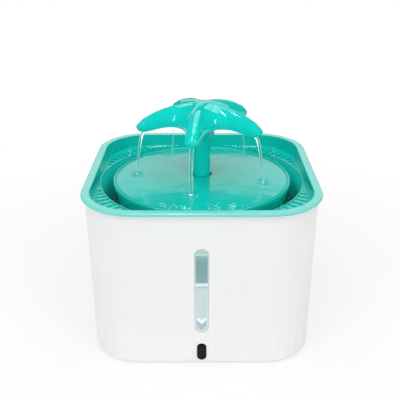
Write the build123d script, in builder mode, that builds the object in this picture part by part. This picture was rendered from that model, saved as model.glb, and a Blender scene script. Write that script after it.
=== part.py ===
"""Pet water fountain: a white tank, a turquoise tray and dish, a starfish spout and its pump.

Millimetres, +Z up. The origin is the middle of the base, on the surface the rubber feet stand on.
The front, with the water-level window, faces -Y.
"""

import os
from math import asin, atan2, cos, degrees, hypot, pi, radians, sin, sqrt

from build123d import *

os.makedirs("parts", exist_ok=True)

# ---------------------------------------------------------------- driving dimensions

# tank
tank_top_width = 173.6
tank_draft = 1.3
tank_top_corner = 38.0
tank_base_corner = 36.0
tank_top_z = 128.0
tank_wall = 2.4
tank_floor = 3.0
base_edge_radius = 3.0
rebate_wall = 1.5
rebate_gap = 1.0
flute_count = 76
flute_radius = 12.0
flute_depth = 0.35
flute_fade_z = 104.0

# rubber feet
foot_radius = 7.0
foot_thickness = 2.0
foot_stand = 1.0
foot_inset = 27.5

# water-level window
window_height = 72.0
window_width = 10.4
window_mid_z = 65.6
window_flange = 2.6
window_flange_thickness = 1.4
window_recess = 0.4
seal_thickness = 0.8

# cable port
port_x = 40.0
port_z = 111.0
port_hole_radius = 4.6
cable_radius = 2.2
grommet_flange_radius = 6.2
grommet_flange = 1.2

# tray: rim, basin, ledge and well
rim_overhang = 3.2
rim_corner = 42.0
rim_thickness = 2.5
rim_band = 6.4
rim_edge_radius = 1.1
basin_depth = 10.0
basin_draft = 1.3
basin_wall = 1.6
ledge_thickness = 2.0
opening_inset = 5.1
throat_step = 2.5
throat_depth = 8.5
well_taper = 4.2
well_floor_z = 73.0
well_wall = 1.8
well_floor = 2.0
well_corner_radius = 3.0
bead_width = 0.9
bead_height = 0.6
comb_per_corner = 13
comb_pitch = 4.5
comb_slot_width = 3.0
comb_reach = 11.3
comb_wall_gap = 0.8
drain_count = 16
drain_width = 3.6
drain_inner_radius = 24.0
drain_margin = 13.0
seat_rib_count = 8
seat_rib_height = 2.5
seat_rib_width = 2.0
seat_rib_inner_radius = 14.0
seat_rib_margin = 4.0
guide_wall = 2.0
guide_height = 19.0

# filter cartridge
filter_gap = 1.0
filter_wall = 2.0
filter_height = 20.0
filter_grid = 2.0
filter_spokes = 8
filter_spoke_width = 4.0
filter_hub_wall = 2.0
filter_hub_rise = 2.5
carbon_depth = 10.0
resin_depth = 4.0

# dish
channel_width = 9.85
dish_edge_z = 121.9
dish_crown = 3.1
dish_bead_radius = 0.9
dish_groove_width = 1.2
dish_groove_depth = 0.5
dish_lip_radius = 0.5
dish_edge_height = 2.6
dish_wall = 2.2
skirt_wall = 1.8
skirt_top_inset = 0.8
skirt_taper = 4.05
skirt_gap = 0.3
inlet_count = 12
inlet_radius = 5.0
fin_count = 6
fin_start_angle = 30.0
fin_thickness = 1.6
fin_drop = 9.0
fin_height = 16.0
fin_gap = 0.5
socket_outer_radius = 13.5
recess_radius = 8.2
recess_depth = 2.5

# stem
stem_radius = 7.0
stem_bore_radius = 4.0
plug_radius = 6.5
plug_length = 10.0
plug_chamfer = 0.6

# riser tube between pump and dish
riser_radius = 8.0
riser_bore_radius = 5.0
riser_top_z = 108.0
riser_end_gap = 3.0
seal_rise = 4.0

# starfish spout
star_arms = 5
star_front_angle = -99.0
star_reach = 51.7
star_bottom_z = 163.7
star_rise = 21.3
star_cap = 0.15
star_levels = 15
star_bulge = 1.4
nose_rise = 3.3
nose_curl = 4.0
arm_tip_radius = 5.2
arm_taper_power = 0.8
web_reach = 24.4
web_rise = 8.5
web_corner_share = 0.7
web_round_share = 0.78
underside_rise = 7.2
underside_reach = 46.0
plate_thickness = 2.0
plate_lip = 0.9
channel_lip = 0.5
channel_depth = 3.8
manifold_radius = 8.0
manifold_roof = 4.0
nozzle_inset = 6.9
nozzle_radius = 1.4
seat_recess = 0.5
collar_radius = 10.0
collar_drop = 6.0
collar_lead = 0.8

# pump
pump_width = 36.0
pump_depth = 32.0
pump_height = 30.0
pump_stand = 5.0
pump_corner = 4.0
pump_front_y = 7.0
rotor_well_radius = 8.2
rotor_well_depth = 24.0
volute_width = 32.0
volute_depth = 17.0
volute_height = 28.0
volute_corner = 5.0
chamber_radius = 12.6
chamber_depth = 12.0
intake_radius = 8.5
intake_spokes = 3
intake_spoke_width = 2.0
bush_holder_wall = 1.2
chamber_play = 0.4
nozzle_outer_radius = 6.5
nozzle_bore_radius = 4.2
nozzle_top_z = 50.0
nozzle_ring_z = 45.0
riser_foot_z = 40.0
gland_radius = 5.0
gland_length = 6.0
gland_drop = 8.0
impeller_radius = 11.0
impeller_hub_radius = 3.6
sleeve_radius = 3.0
impeller_blades = 6
blade_thickness = 1.2
blade_depth = 8.0
backplate_thickness = 1.4
magnet_radius = 7.6
magnet_length = 20.0
shaft_radius = 1.25
bush_radius = 3.0
bush_length = 3.0
bush_play = 0.02
cup_spacing_x = 22.0
cup_spacing_y = 20.0
cup_radius = 6.0
cup_lip = 0.8
cup_hollow = 1.8
cup_neck_radius = 2.6
cup_stud_radius = 1.6
cup_stud_length = 2.5
lens_radius = 3.0
lens_socket_depth = 2.0
lens_stand = 1.5
lens_x = 11.0
lens_inset = 6.0

# intake cover with its sponge and flow gate
cover_depth = 13.0
cover_wall = 1.5
cover_overlap = 3.0
grille_slots = 6
grille_slot_width = 1.8
grille_pitch = 3.8
grille_slot_height = 14.0
grille_rise = 1.0
gate_height = 20.0
gate_thickness = 1.2
gate_nub = 3.0
gate_nub_reach = 1.5
gate_rise = 3.0
rail_width = 1.0
cover_edge_radius = 1.2

# clearances between pieces
snug = 0.1
loose = 0.3
running = 0.05
guide_gap = 1.6

# O-rings
ring_section = 0.8
groove_slack = 0.15


# ---------------------------------------------------------------- sizes that follow

tank_base_width = tank_top_width - 2 * tank_draft
tank_floor_z = foot_stand + tank_floor
tank_slope = tank_draft / (tank_top_z - foot_stand)
foot_spacing = tank_base_width - 2 * foot_inset
rim_width = tank_top_width + 2 * rim_overhang
rim_top_z = tank_top_z + rim_thickness
ledge_z = rim_top_z - basin_depth
rebate_z = ledge_z - ledge_thickness - rebate_gap
basin_top_width = rim_width - 2 * rim_band
basin_top_corner = rim_corner - rim_band
opening_radius = tank_top_width / 2 - opening_inset
throat_radius = opening_radius - throat_step
well_floor_radius = throat_radius - well_taper
comb_outer_radius = opening_radius + comb_reach
drain_outer_radius = well_floor_radius - drain_margin
seat_rib_outer_radius = well_floor_radius - seat_rib_margin
filter_radius = well_floor_radius - filter_gap
filter_z = well_floor_z + seat_rib_height
filter_top_z = filter_z + filter_height
pump_z = tank_floor_z + pump_stand
rotor_axis_z = pump_z + volute_height / 2
dish_radius = opening_radius - channel_width
dish_sphere_radius = (dish_radius**2 + dish_crown**2) / (2 * dish_crown)
dish_sphere_z = dish_edge_z + dish_crown - dish_sphere_radius
socket_floor_z = dish_edge_z + dish_crown - recess_depth
star_top_z = star_bottom_z + star_rise
star_seat_z = star_bottom_z + underside_rise + seat_recess
quarter_turn = 90.0


def tank_half_width(z):
    """Half the tank's outer width at a height."""
    return tank_base_width / 2 + tank_slope * (z - foot_stand)


def tank_corner(z):
    """The tank's outer corner radius at a height."""
    share = (z - foot_stand) / (tank_top_z - foot_stand)
    return tank_base_corner + share * (tank_top_corner - tank_base_corner)


def basin_half_width(z):
    """Half the tray basin's inner width at a height."""
    return basin_top_width / 2 - basin_draft * (rim_top_z - z) / basin_depth


def basin_corner(z):
    """The tray basin's inner corner radius at a height."""
    return basin_top_corner - basin_draft * (rim_top_z - z) / basin_depth


# ---------------------------------------------------------------- tank

front_draft = degrees(atan2(tank_slope, 1))
front_wall = Plane(
    origin=(0, -tank_half_width(window_mid_z), window_mid_z),
    x_dir=(1, 0, 0),
    z_dir=(0, -cos(radians(front_draft)), -sin(radians(front_draft))),
)
rear_wall = Plane(
    origin=(port_x, tank_half_width(port_z), port_z),
    x_dir=(-1, 0, 0),
    z_dir=(0, cos(radians(front_draft)), -sin(radians(front_draft))),
)

# Flutes are long cylinders laid against the outside, each leaning out until it fades off the wall.
with BuildSketch(Plane.XY.offset(foot_stand)) as base_outline:
    RectangleRounded(tank_base_width, tank_base_width, tank_base_corner)
with BuildSketch(Plane.XY.offset(flute_fade_z)) as fade_outline:
    fade_width = 2 * tank_half_width(flute_fade_z)
    RectangleRounded(fade_width, fade_width, tank_corner(flute_fade_z))
base_wire = base_outline.sketch.faces()[0].outer_wire()
fade_wire = fade_outline.sketch.faces()[0].outer_wire()
flute_planes = []
for n in range(flute_count):
    share = (n + 0.5) / flute_count
    low = base_wire.position_at(share * base_wire.length, PositionMode.LENGTH)
    high = fade_wire.position_at(share * fade_wire.length, PositionMode.LENGTH)
    along = base_wire.tangent_at(share * base_wire.length, PositionMode.LENGTH)
    outward = Vector(along.Y, -along.X, 0)
    if outward.dot(Vector(low.X, low.Y, 0)) < 0:
        outward = -outward
    start = low + outward * (flute_radius - flute_depth)
    end = high + outward * flute_radius
    flute_planes.append(Plane(origin=start, z_dir=end - start))

with BuildPart() as tank:
    with BuildSketch(Plane.XY.offset(foot_stand)):
        RectangleRounded(tank_base_width, tank_base_width, tank_base_corner)
    with BuildSketch(Plane.XY.offset(tank_top_z)):
        RectangleRounded(tank_top_width, tank_top_width, tank_top_corner)
    loft()
    fillet(tank.faces().sort_by(Axis.Z)[0].edges(), base_edge_radius)
    with Locations(*flute_planes):
        Cylinder(
            flute_radius,
            2 * flute_fade_z,
            align=(Align.CENTER, Align.CENTER, Align.CENTER),
            mode=Mode.SUBTRACT,
        )

    # hollow, with a wider mouth where the tray's basin drops in
    with BuildSketch(Plane.XY.offset(tank_floor_z)):
        floor_width = 2 * (tank_half_width(tank_floor_z) - tank_wall)
        RectangleRounded(floor_width, floor_width, tank_corner(tank_floor_z) - tank_wall)
    with BuildSketch(Plane.XY.offset(tank_top_z)):
        mouth_width = tank_top_width - 2 * tank_wall
        RectangleRounded(mouth_width, mouth_width, tank_top_corner - tank_wall)
    loft(mode=Mode.SUBTRACT)
    with BuildSketch(Plane.XY.offset(rebate_z)):
        rebate_width = tank_top_width - 2 * rebate_wall
        RectangleRounded(rebate_width, rebate_width, tank_top_corner - rebate_wall)
    extrude(amount=tank_top_z - rebate_z, mode=Mode.SUBTRACT)
    # slot for the window, hole for the cable
    with BuildSketch(front_wall):
        SlotOverall(window_height, window_width, rotation=90)
    extrude(amount=2 * tank_wall, both=True, mode=Mode.SUBTRACT)
    with BuildSketch(rear_wall):
        Circle(port_hole_radius)
    extrude(amount=2 * tank_wall, both=True, mode=Mode.SUBTRACT)
    # pockets for the feet
    with BuildSketch(Plane.XY.offset(foot_stand)):
        with GridLocations(foot_spacing, foot_spacing, 2, 2):
            Circle(foot_radius + loose)
    extrude(amount=foot_thickness - foot_stand, mode=Mode.SUBTRACT)
tank.part.label = "tank"
export_step(tank.part, "parts/tank.step")


# ---------------------------------------------------------------- rubber feet

foot_names = ["foot_front_left", "foot_front_right", "foot_rear_left", "foot_rear_right"]
foot_signs = [(-1, -1), (1, -1), (-1, 1), (1, 1)]
for foot_name, (side, end) in zip(foot_names, foot_signs):
    foot_plane = Plane(origin=(side * foot_spacing / 2, end * foot_spacing / 2, 0))
    with BuildPart(foot_plane) as foot:
        Cylinder(foot_radius, foot_thickness, align=(Align.CENTER, Align.CENTER, Align.MIN))
        chamfer(foot.edges().sort_by(Axis.Z)[0], foot_stand / 2)
    foot.part.label = foot_name
    export_step(foot.part, f"parts/{foot_name}.step")


# ---------------------------------------------------------------- water-level window and its seal

# The clear lens fills the slot from behind; its flange presses a gasket against the tank's wall.
with BuildPart() as level_window:
    with BuildSketch(front_wall.offset(-window_recess)):
        SlotOverall(window_height - 2 * snug, window_width - 2 * snug, rotation=90)
    extrude(amount=-(tank_wall + seal_thickness - window_recess))
    with BuildSketch(front_wall.offset(-tank_wall - seal_thickness)):
        flange_height = window_height + 2 * window_flange
        SlotOverall(flange_height, window_width + 2 * window_flange, rotation=90)
    extrude(amount=-window_flange_thickness)
    fillet(level_window.edges().sort_by(Axis.Y)[:4], window_recess)
level_window.part.label = "level_window"
export_step(level_window.part, "parts/level_window.step")

with BuildPart() as window_seal:
    with BuildSketch(front_wall.offset(-tank_wall)):
        SlotOverall(flange_height, window_width + 2 * window_flange, rotation=90)
        SlotOverall(window_height, window_width, rotation=90, mode=Mode.SUBTRACT)
    extrude(amount=-seal_thickness)
window_seal.part.label = "window_seal"
export_step(window_seal.part, "parts/window_seal.step")


# ---------------------------------------------------------------- cable grommet

with BuildPart() as cable_grommet:
    with BuildSketch(rear_wall.offset(grommet_flange)):
        Circle(grommet_flange_radius)
    extrude(amount=-grommet_flange)
    with BuildSketch(rear_wall):
        Circle(port_hole_radius - snug)
    extrude(amount=-tank_wall)
    with BuildSketch(rear_wall.offset(-tank_wall)):
        Circle(grommet_flange_radius)
    extrude(amount=-grommet_flange)
    with BuildSketch(rear_wall.offset(grommet_flange)):
        Circle(cable_radius)
    extrude(amount=-2 * grommet_flange - tank_wall, mode=Mode.SUBTRACT)
cable_grommet.part.label = "cable_grommet"
export_step(cable_grommet.part, "parts/cable_grommet.step")


# ---------------------------------------------------------------- tray

with BuildPart() as tray:
    # rim flange lying on the tank's edge
    with BuildSketch(Plane.XY.offset(tank_top_z)):
        RectangleRounded(rim_width, rim_width, rim_corner)
    extrude(amount=rim_thickness)
    fillet(tray.faces().sort_by(Axis.Z)[-1].edges(), rim_edge_radius)
    fillet(tray.faces().sort_by(Axis.Z)[0].edges(), rim_edge_radius)
    # square basin below it
    with BuildSketch(Plane.XY.offset(ledge_z - ledge_thickness)):
        low_width = 2 * (basin_half_width(ledge_z) + basin_wall)
        RectangleRounded(low_width, low_width, basin_corner(ledge_z) + basin_wall)
    with BuildSketch(Plane.XY.offset(tank_top_z)):
        high_width = 2 * (basin_half_width(tank_top_z) + basin_wall)
        RectangleRounded(high_width, high_width, basin_corner(tank_top_z) + basin_wall)
    loft()
    # round well, outside
    with BuildSketch(Plane.XZ):
        with BuildLine():
            Polyline(
                (0, well_floor_z - well_floor),
                (well_floor_radius + well_wall - well_corner_radius, well_floor_z - well_floor),
                (well_floor_radius + well_wall, well_floor_z + well_corner_radius),
                (throat_radius + well_wall, ledge_z - throat_depth),
                (opening_radius + well_wall, ledge_z - ledge_thickness),
                (opening_radius + well_wall, ledge_z - ledge_thickness / 2),
                (0, ledge_z - ledge_thickness / 2),
                close=True,
            )
        make_face()
    revolve(axis=Axis.Z)
    # hollow of the basin
    with BuildSketch(Plane.XY.offset(ledge_z)):
        ledge_width = 2 * basin_half_width(ledge_z)
        RectangleRounded(ledge_width, ledge_width, basin_corner(ledge_z))
    with BuildSketch(Plane.XY.offset(rim_top_z)):
        RectangleRounded(basin_top_width, basin_top_width, basin_top_corner)
    loft(mode=Mode.SUBTRACT)
    # raised bead round the opening
    with BuildSketch(Plane.XY.offset(ledge_z)):
        Circle(opening_radius + bead_width)
    extrude(amount=bead_height)
    # hollow of the well
    with BuildSketch(Plane.XZ):
        with BuildLine():
            Polyline(
                (0, well_floor_z),
                (well_floor_radius - well_corner_radius, well_floor_z),
                (well_floor_radius, well_floor_z + well_corner_radius),
                (throat_radius, ledge_z - throat_depth),
                (opening_radius, ledge_z),
                (opening_radius, ledge_z + bead_height),
                (0, ledge_z + bead_height),
                close=True,
            )
        make_face()
    revolve(axis=Axis.Z, mode=Mode.SUBTRACT)
    # radial comb slots in the four corners of the ledge
    with BuildSketch(Plane.XY.offset(ledge_z)):
        for corner in range(4):
            span = comb_pitch * (comb_per_corner - 1)
            first = (corner + 0.5) * quarter_turn - span / 2
            with PolarLocations(comb_outer_radius / 2, comb_per_corner, first, span):
                Rectangle(comb_outer_radius, comb_slot_width)
        Circle(comb_outer_radius, mode=Mode.INTERSECT)
        slot_width = ledge_width - 2 * comb_wall_gap
        slot_corner = basin_corner(ledge_z) - comb_wall_gap
        RectangleRounded(slot_width, slot_width, slot_corner, mode=Mode.INTERSECT)
        Circle(opening_radius + bead_width, mode=Mode.SUBTRACT)
    extrude(amount=-2 * ledge_thickness, mode=Mode.SUBTRACT)
    # drain slots in the well's floor
    with BuildSketch(Plane.XY.offset(well_floor_z)):
        drain_middle = (drain_inner_radius + drain_outer_radius) / 2
        with PolarLocations(drain_middle, drain_count, 180 / drain_count):
            SlotOverall(drain_outer_radius - drain_inner_radius, drain_width)
    extrude(amount=-2 * well_floor, mode=Mode.SUBTRACT)
    # ribs that the filter stands on
    with BuildSketch(Plane.XY.offset(well_floor_z)):
        rib_length = seat_rib_outer_radius - seat_rib_inner_radius
        with PolarLocations(seat_rib_inner_radius + rib_length / 2, seat_rib_count):
            Rectangle(rib_length, seat_rib_width)
    extrude(amount=seat_rib_height)
    # guide collar round the riser tube
    with BuildSketch(Plane.XY.offset(well_floor_z - well_floor)):
        Circle(riser_radius + guide_gap + guide_wall)
    extrude(amount=well_floor + guide_height)
    with BuildSketch(Plane.XY.offset(well_floor_z - well_floor)):
        Circle(riser_radius + guide_gap)
    extrude(amount=well_floor + guide_height, mode=Mode.SUBTRACT)
tray.part.label = "tray"
export_step(tray.part, "parts/tray.step")


# ---------------------------------------------------------------- filter cartridge

hub_inner_radius = riser_radius + guide_gap + guide_wall + 2 * loose
hub_outer_radius = hub_inner_radius + filter_hub_wall

with BuildPart() as filter_frame:
    with BuildSketch(Plane.XY.offset(filter_z)):
        Circle(filter_radius)
        Circle(filter_radius - filter_wall, mode=Mode.SUBTRACT)
    extrude(amount=filter_height)
    with BuildSketch(Plane.XY.offset(filter_z)):
        Circle(hub_outer_radius)
        Circle(hub_inner_radius, mode=Mode.SUBTRACT)
    extrude(amount=filter_height + filter_hub_rise)
    with BuildSketch(Plane.XY.offset(filter_z)):
        spoke_length = filter_radius - hub_inner_radius - filter_wall / 2 - filter_hub_wall / 2
        spoke_middle = hub_inner_radius + filter_hub_wall / 2 + spoke_length / 2
        with PolarLocations(spoke_middle, filter_spokes):
            Rectangle(spoke_length, filter_spoke_width)
        Circle((filter_radius + hub_outer_radius) / 2)
        Circle((filter_radius + hub_outer_radius) / 2 - filter_spoke_width, mode=Mode.SUBTRACT)
        with PolarLocations(spoke_middle, filter_spokes):
            Rectangle(spoke_length, filter_spoke_width)
    extrude(amount=filter_grid)
filter_frame.part.label = "filter_frame"
export_step(filter_frame.part, "parts/filter_frame.step")

layer_z = filter_z + filter_grid
cotton_depth = filter_height - filter_grid - carbon_depth - resin_depth
for layer_name, layer_depth in (
    ("carbon_bed", carbon_depth),
    ("resin_bed", resin_depth),
    ("filter_cotton", cotton_depth),
):
    with BuildPart() as layer:
        with BuildSketch(Plane.XY.offset(layer_z)):
            Circle(filter_radius - filter_wall - loose)
            Circle(hub_outer_radius + loose, mode=Mode.SUBTRACT)
        extrude(amount=layer_depth)
    layer.part.label = layer_name
    export_step(layer.part, f"parts/{layer_name}.step")
    layer_z += layer_depth


# ---------------------------------------------------------------- dish

dish_foot_z = filter_top_z + skirt_gap
socket_foot_z = filter_top_z + filter_hub_rise
dish_top_z = dish_edge_z + dish_crown
skirt_top_radius = dish_radius - skirt_top_inset
skirt_bottom_radius = skirt_top_radius - skirt_taper
skirt_top_z = dish_edge_z - dish_edge_height
socket_stop_z = riser_top_z + riser_end_gap
seal_z = socket_foot_z + seal_rise
seal_groove_height = 2 * ring_section + 2 * groove_slack
groove_outset = dish_radius - 2 * dish_bead_radius - dish_groove_width
fin_top_z = dish_edge_z - fin_drop
fin_foot_z = fin_top_z - fin_height


def crown_z(radius):
    """Height of the dish's dome at a distance from its middle."""
    return dish_sphere_z + sqrt(dish_sphere_radius**2 - radius**2)


def skirt_radius_at(z):
    """Outer radius of the dish's skirt at a height."""
    share = (z - dish_foot_z) / (skirt_top_z - dish_foot_z)
    return skirt_bottom_radius + share * (skirt_top_radius - skirt_bottom_radius)


def well_radius_at(z):
    """Inner radius of the tray's well at a height below its throat."""
    low_z = well_floor_z + well_corner_radius
    share = (z - low_z) / (ledge_z - throat_depth - low_z)
    return well_floor_radius + share * (throat_radius - well_floor_radius)


# The dish: a shallow dome with a groove and a bead round its edge, carried on a tapering skirt.
with BuildPart() as dish:
    with BuildSketch(Plane.XZ) as dish_profile:
        with BuildLine():
            ThreePointArc(
                (0, dish_top_z),
                (dish_radius / 2, crown_z(dish_radius / 2)),
                (groove_outset, crown_z(groove_outset)),
            )
            ThreePointArc(
                (groove_outset, crown_z(groove_outset)),
                (groove_outset + dish_groove_width / 2, dish_edge_z - dish_groove_depth),
                (groove_outset + dish_groove_width, dish_edge_z),
            )
            ThreePointArc(
                (dish_radius - 2 * dish_bead_radius, dish_edge_z),
                (dish_radius - dish_bead_radius, dish_edge_z + dish_bead_radius),
                (dish_radius, dish_edge_z),
            )
            Polyline(
                (dish_radius, dish_edge_z),
                (dish_radius, skirt_top_z),
                (skirt_top_radius, skirt_top_z),
                (skirt_bottom_radius, dish_foot_z),
                (skirt_bottom_radius - skirt_wall, dish_foot_z),
                (skirt_top_radius - skirt_wall, skirt_top_z),
            )
            ThreePointArc(
                (skirt_top_radius - skirt_wall, skirt_top_z),
                (dish_radius / 2, crown_z(dish_radius / 2) - dish_wall),
                (0, dish_top_z - dish_wall),
            )
            Line((0, dish_top_z - dish_wall), (0, dish_top_z))
        make_face()
        edge_foot = dish_profile.vertices().group_by(Axis.X)[-1].sort_by(Axis.Y)[0]
        fillet(edge_foot, dish_lip_radius)
    revolve(axis=Axis.Z)
    # water inlets, arched into the foot of the skirt
    with Locations(Plane.XY.offset(dish_foot_z)):
        with PolarLocations(skirt_bottom_radius, inlet_count, 180 / inlet_count):
            Cylinder(inlet_radius, 4 * skirt_wall, rotation=(0, 90, 0), mode=Mode.SUBTRACT)
    # fins that centre the dish in the well
    for n in range(fin_count):
        angle = radians(fin_start_angle + 360 / fin_count * n)
        fin_plane = Plane(
            origin=(0, 0, 0),
            x_dir=(cos(angle), sin(angle), 0),
            z_dir=(sin(angle), -cos(angle), 0),
        )
        with BuildSketch(fin_plane):
            with BuildLine():
                Polyline(
                    (skirt_radius_at(fin_top_z) - skirt_wall / 2, fin_top_z),
                    (well_radius_at(fin_top_z) - fin_gap, fin_top_z),
                    (well_radius_at(fin_foot_z) - fin_gap, fin_foot_z),
                    (skirt_radius_at(fin_foot_z) - skirt_wall / 2, fin_foot_z),
                    close=True,
                )
            make_face()
        extrude(amount=fin_thickness / 2, both=True)
    # central socket: riser tube from below, stem from above
    with BuildSketch(Plane.XY.offset(socket_foot_z)):
        Circle(socket_outer_radius)
    extrude(amount=dish_top_z - dish_wall / 2 - socket_foot_z)
    with BuildSketch(Plane.XY.offset(socket_foot_z)):
        Circle(riser_radius + snug)
    extrude(amount=socket_stop_z - socket_foot_z, mode=Mode.SUBTRACT)
    with BuildSketch(Plane.XY.offset(seal_z - seal_groove_height / 2)):
        Circle(riser_radius + running + 2 * ring_section + groove_slack)
    extrude(amount=seal_groove_height, mode=Mode.SUBTRACT)
    with BuildSketch(Plane.XY.offset(socket_stop_z)):
        Circle(plug_radius + snug)
    extrude(amount=dish_crown + dish_edge_z - socket_stop_z, mode=Mode.SUBTRACT)
    with BuildSketch(Plane.XY.offset(socket_floor_z)):
        Circle(recess_radius)
    extrude(amount=dish_top_z - socket_floor_z, mode=Mode.SUBTRACT)
dish.part.label = "dish"
export_step(dish.part, "parts/dish.step")

with BuildPart(Plane.XY.offset(seal_z)) as socket_seal:
    Torus(riser_radius + running + ring_section, ring_section)
socket_seal.part.label = "socket_seal"
export_step(socket_seal.part, "parts/socket_seal.step")


# ---------------------------------------------------------------- stem

stem_top_z = star_seat_z - running
plug_z = socket_floor_z - plug_length
plug_ring_z = plug_z + plug_length / 2

with BuildPart() as stem:
    with BuildSketch(Plane.XY.offset(plug_z)):
        Circle(plug_radius)
    extrude(amount=plug_length)
    with BuildSketch(Plane.XY.offset(socket_floor_z)):
        Circle(stem_radius)
    extrude(amount=stem_top_z - socket_floor_z)
    chamfer(stem.edges().sort_by(Axis.Z)[0], plug_chamfer)
    chamfer(stem.edges().sort_by(Axis.Z)[-1], plug_chamfer)
    # groove for the O-ring
    with BuildSketch(Plane.XY.offset(plug_ring_z - seal_groove_height / 2)):
        Circle(plug_radius + snug)
        Circle(plug_radius + running - 2 * ring_section - groove_slack, mode=Mode.SUBTRACT)
    extrude(amount=seal_groove_height, mode=Mode.SUBTRACT)
    # water way
    with BuildSketch(Plane.XY.offset(plug_z)):
        Circle(stem_bore_radius)
    extrude(amount=stem_top_z - plug_z, mode=Mode.SUBTRACT)
stem.part.label = "stem"
export_step(stem.part, "parts/stem.step")

with BuildPart(Plane.XY.offset(plug_ring_z)) as stem_o_ring:
    Torus(plug_radius + running - ring_section, ring_section)
stem_o_ring.part.label = "stem_o_ring"
export_step(stem_o_ring.part, "parts/stem_o_ring.step")


# ---------------------------------------------------------------- starfish spout


def arm_reach(z):
    """How far the arms reach at a height: a drooping back that curls under at the nose."""
    above_nose = z - star_bottom_z - nose_rise
    if above_nose < 0:
        return star_reach - nose_curl * (1 - sqrt(1 - (above_nose / nose_rise) ** 2))
    droop = (above_nose / (star_rise - nose_rise)) ** star_bulge
    return star_reach * sqrt(1 - droop)


def tip_radius(z):
    """Half the width of an arm's tip at a height."""
    reach = arm_reach(z)
    if z < star_bottom_z + nose_rise:
        return arm_tip_radius - (star_reach - reach) / 2
    return arm_tip_radius * (reach / star_reach) ** arm_taper_power


def web_distance(z):
    """How far the webs between the arms stand from the middle at a height."""
    from_widest = (z - star_bottom_z - web_rise) / (star_rise - web_rise)
    return web_reach * sqrt(1 - from_widest**2)


def star_corners(reach, radius, web):
    """Corners of a star whose arms, once rounded to a radius, end at reach."""
    half_turn = pi / star_arms
    tip_centre = reach - radius
    corner = web_corner_share * web
    web_x = corner * cos(half_turn)
    web_y = corner * sin(half_turn)
    lean = atan2(web_y, tip_centre - web_x) - asin(radius / hypot(tip_centre - web_x, web_y))
    point = tip_centre + radius / sin(lean)
    corners = []
    for arm in range(star_arms):
        angle = radians(star_front_angle) + 2 * half_turn * arm
        corners.append((point * cos(angle), point * sin(angle)))
        corners.append((corner * cos(angle + half_turn), corner * sin(angle + half_turn)))
    return corners


def star_outline(z, reach, radius, web):
    """A flat star at a height, with rounded tips and wide rounded webs."""
    with BuildSketch(Plane.XY.offset(z)) as outline:
        Polygon(*star_corners(reach, radius, web), align=None)
        by_distance = outline.vertices().sort_by(SortBy.DISTANCE)
        fillet(by_distance[star_arms:], radius)
        by_distance = outline.vertices().sort_by(SortBy.DISTANCE)
        fillet(by_distance[:star_arms], web_round_share * web)
    return outline.sketch


# The underside is part of a large ball, and the plate and the channels follow it.
underside_radius = (underside_reach**2 + underside_rise**2) / (2 * underside_rise)
underside_middle_z = star_bottom_z + underside_rise - underside_radius
plate_top_z = star_bottom_z + underside_rise + plate_thickness
foot_reach = arm_reach(star_bottom_z)
foot_radius_at_tip = tip_radius(star_bottom_z)
foot_web = web_distance(star_bottom_z)


def under_layer(inset, thickness):
    """A star inset from the spout's foot, up to a height above its domed underside."""
    with BuildPart(Plane.XY.offset(underside_middle_z)) as ball:
        Sphere(underside_radius + thickness)
    with BuildPart() as layer:
        add(star_outline(star_bottom_z, foot_reach - inset, foot_radius_at_tip - inset, foot_web - 2 * inset))
        extrude(amount=underside_rise + thickness)
        add(ball.part, mode=Mode.INTERSECT)
    return layer.part


with BuildPart(Plane.XY.offset(underside_middle_z)) as underside_ball:
    Sphere(underside_radius)

with BuildPart() as starfish_shell:
    for n in range(star_levels):
        share = (1 - cos(pi * n / (star_levels - 1))) / 2
        level_z = star_bottom_z + share * (star_rise - star_cap)
        add(star_outline(level_z, arm_reach(level_z), tip_radius(level_z), web_distance(level_z)))
    loft()
    add(underside_ball.part, mode=Mode.SUBTRACT)
    # recess for the plate, the channels that feed the arms, and the manifold over the stem
    add(under_layer(plate_lip, plate_thickness + snug), mode=Mode.SUBTRACT)
    add(under_layer(plate_lip + channel_lip, plate_thickness + channel_depth), mode=Mode.SUBTRACT)
    with BuildSketch(Plane.XY.offset(star_bottom_z)):
        Circle(manifold_radius)
    extrude(amount=star_rise - manifold_roof, mode=Mode.SUBTRACT)
starfish_shell.part.label = "starfish_shell"
export_step(starfish_shell.part, "parts/starfish_shell.step")

collar_bottom_z = star_bottom_z - collar_drop

with BuildPart() as starfish_plate:
    add(under_layer(plate_lip + snug, plate_thickness))
    add(underside_ball.part, mode=Mode.SUBTRACT)
    # collar that drops over the stem
    with BuildSketch(Plane.XY.offset(collar_bottom_z)):
        Circle(collar_radius)
    extrude(amount=plate_top_z - plate_thickness / 2 - collar_bottom_z)
    fillet(starfish_plate.edges().sort_by(Axis.Z)[0], collar_lead)
    with BuildSketch(Plane.XY.offset(collar_bottom_z)):
        Circle(stem_radius + running)
    extrude(amount=star_seat_z - collar_bottom_z, mode=Mode.SUBTRACT)
    with BuildSketch(Plane.XY.offset(star_seat_z)):
        Circle(stem_bore_radius)
    extrude(amount=plate_top_z - star_seat_z, mode=Mode.SUBTRACT)
    # one nozzle under each arm tip
    with BuildSketch(Plane.XY.offset(star_bottom_z)):
        with PolarLocations(star_reach - nozzle_inset, star_arms, star_front_angle):
            Circle(nozzle_radius)
    extrude(amount=underside_rise, mode=Mode.SUBTRACT)
starfish_plate.part.label = "starfish_plate"
export_step(starfish_plate.part, "parts/starfish_plate.step")


# ---------------------------------------------------------------- riser tube

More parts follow.
